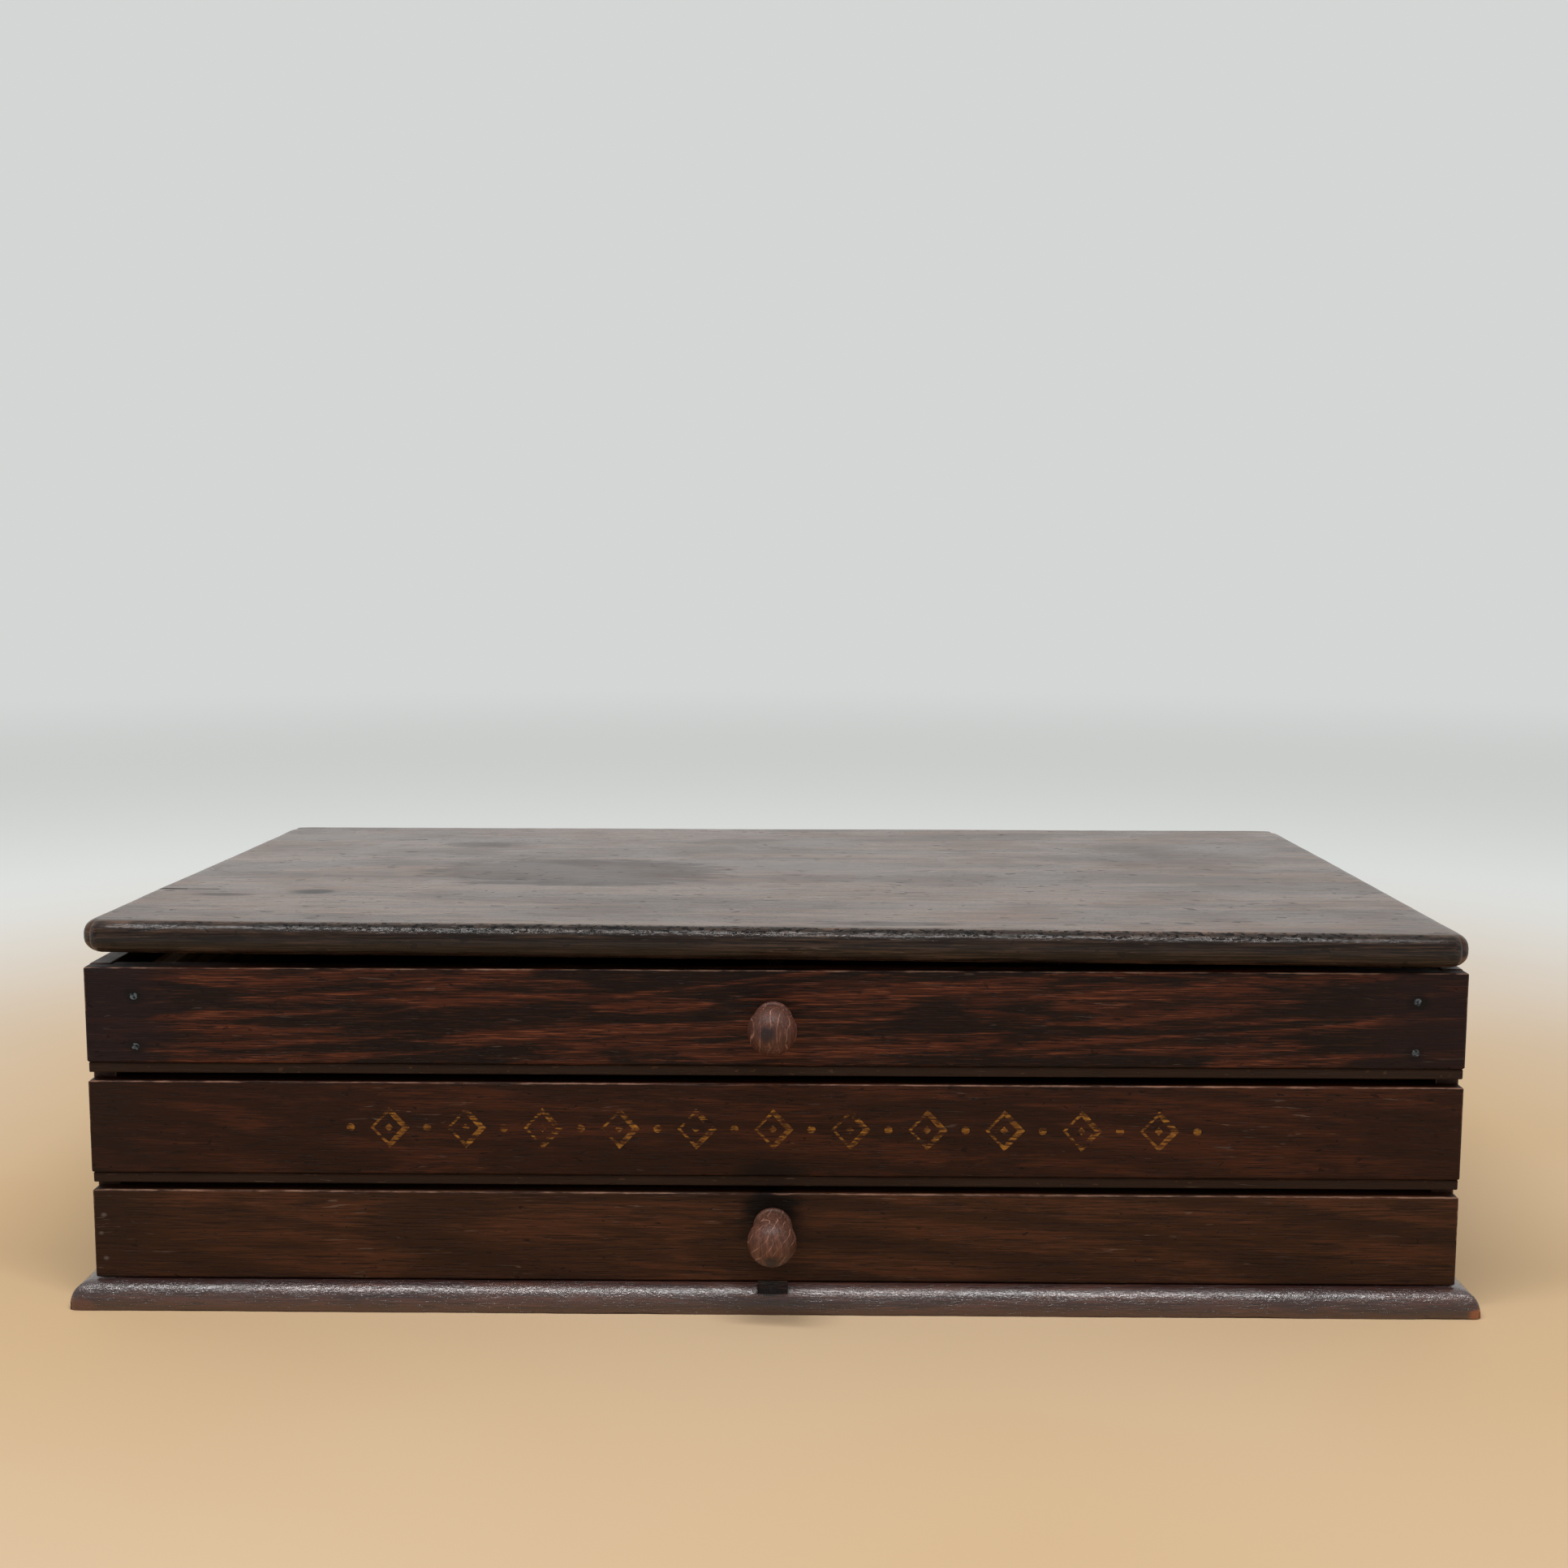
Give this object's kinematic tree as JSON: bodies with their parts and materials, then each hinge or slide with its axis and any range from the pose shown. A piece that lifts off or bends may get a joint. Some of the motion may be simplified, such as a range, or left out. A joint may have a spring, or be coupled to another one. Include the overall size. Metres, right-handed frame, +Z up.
{
  "type": "three-drawer sewing notions cabinet",
  "caption": "Low wooden counter cabinet with shallow full-width drawers divided for bobbins and thread, under a hinged lid with rounded edges and on a moulded base.",
  "frame": {"origin": "bottom centre of the whole object's box, on the surface that the cabinet stands on", "axes": "+X to the right along the fronts, +Y from the fronts to the back, +Z up"},
  "size_m": [0.4416, 0.2594, 0.1229],
  "materials": {
    "front_oak": "dark stained oak, old worn varnish, satin gloss",
    "lid_oak": "dark stained oak, rubbed and grazed, glossy sheen",
    "moulded_base_oak": "dark stained oak moulding, glossy, arris worn through",
    "carcase_oak": "stained oak, dull",
    "drawer_bottom_wood": "thin board, edge stained dark, bare inside",
    "drawer_lining_wood": "planed softwood, bare, toned by age",
    "turned_knob_wood": "turned hardwood, waxed, unstained",
    "brass": "old brass, dulled",
    "steel": "darkened steel"
  },
  "bodies": {
    "carcase": {"base_board": "moulded_base_oak", "left_side": "carcase_oak", "right_side": "carcase_oak", "back_panel": "carcase_oak", "base_screw_left_front": "steel", "base_screw_left_rear": "steel", "hinge_left_fixed_leaf": "brass", "hinge_left_pin": "brass", "hinge_left_fixed_screw_1": "brass", "hinge_left_fixed_screw_2": "brass", "base_screw_right_front": "steel", "base_screw_right_rear": "steel", "hinge_right_fixed_leaf": "brass", "hinge_right_pin": "brass", "hinge_right_fixed_screw_1": "brass", "hinge_right_fixed_screw_2": "brass"},
    "lid": {"lid_board": "lid_oak", "hinge_left_moving_leaf": "brass", "hinge_left_moving_screw_1": "brass", "hinge_left_moving_screw_2": "brass", "hinge_right_moving_leaf": "brass", "hinge_right_moving_screw_1": "brass", "hinge_right_moving_screw_2": "brass"},
    "top_drawer": {"top_drawer_front": "front_oak", "top_drawer_bottom": "drawer_bottom_wood", "top_drawer_side_left": "drawer_lining_wood", "top_drawer_side_right": "drawer_lining_wood", "top_drawer_back": "drawer_lining_wood", "top_drawer_divider_1": "drawer_lining_wood", "top_drawer_divider_2": "drawer_lining_wood", "top_drawer_divider_3": "drawer_lining_wood", "top_drawer_knob": "turned_knob_wood", "top_drawer_knob_screw": "steel", "front_nail_left_lower": "steel", "front_nail_left_upper": "steel", "front_nail_right_lower": "steel", "front_nail_right_upper": "steel"},
    "middle_drawer": {"middle_drawer_front": "front_oak", "middle_drawer_bottom": "drawer_bottom_wood", "middle_drawer_side_left": "drawer_lining_wood", "middle_drawer_side_right": "drawer_lining_wood", "middle_drawer_back": "drawer_lining_wood", "middle_drawer_divider_1": "drawer_lining_wood", "middle_drawer_divider_2": "drawer_lining_wood", "middle_drawer_divider_3": "drawer_lining_wood"},
    "bottom_drawer": {"bottom_drawer_front": "front_oak", "bottom_drawer_bottom": "drawer_bottom_wood", "bottom_drawer_side_left": "drawer_lining_wood", "bottom_drawer_side_right": "drawer_lining_wood", "bottom_drawer_back": "drawer_lining_wood", "bottom_drawer_divider_1": "drawer_lining_wood", "bottom_drawer_divider_2": "drawer_lining_wood", "bottom_drawer_divider_3": "drawer_lining_wood", "bottom_drawer_knob": "turned_knob_wood", "bottom_drawer_knob_screw": "steel"}
  },
  "joints": [
    {"name": "lid_hinge", "type": "hinge", "parent": "carcase", "child": "lid", "pos_m": [0, 0.12755, 0.10855], "axis": [-1, 0, 0], "range_deg": [0, 100]},
    {"name": "top_drawer_slide", "type": "slide", "parent": "carcase", "child": "top_drawer", "axis": [0, -1, 0], "range_m": [0, 0.17]},
    {"name": "middle_drawer_slide", "type": "slide", "parent": "carcase", "child": "middle_drawer", "axis": [0, -1, 0], "range_m": [0, 0.17]},
    {"name": "bottom_drawer_slide", "type": "slide", "parent": "carcase", "child": "bottom_drawer", "axis": [0, -1, 0], "range_m": [0, 0.17]}
  ]
}
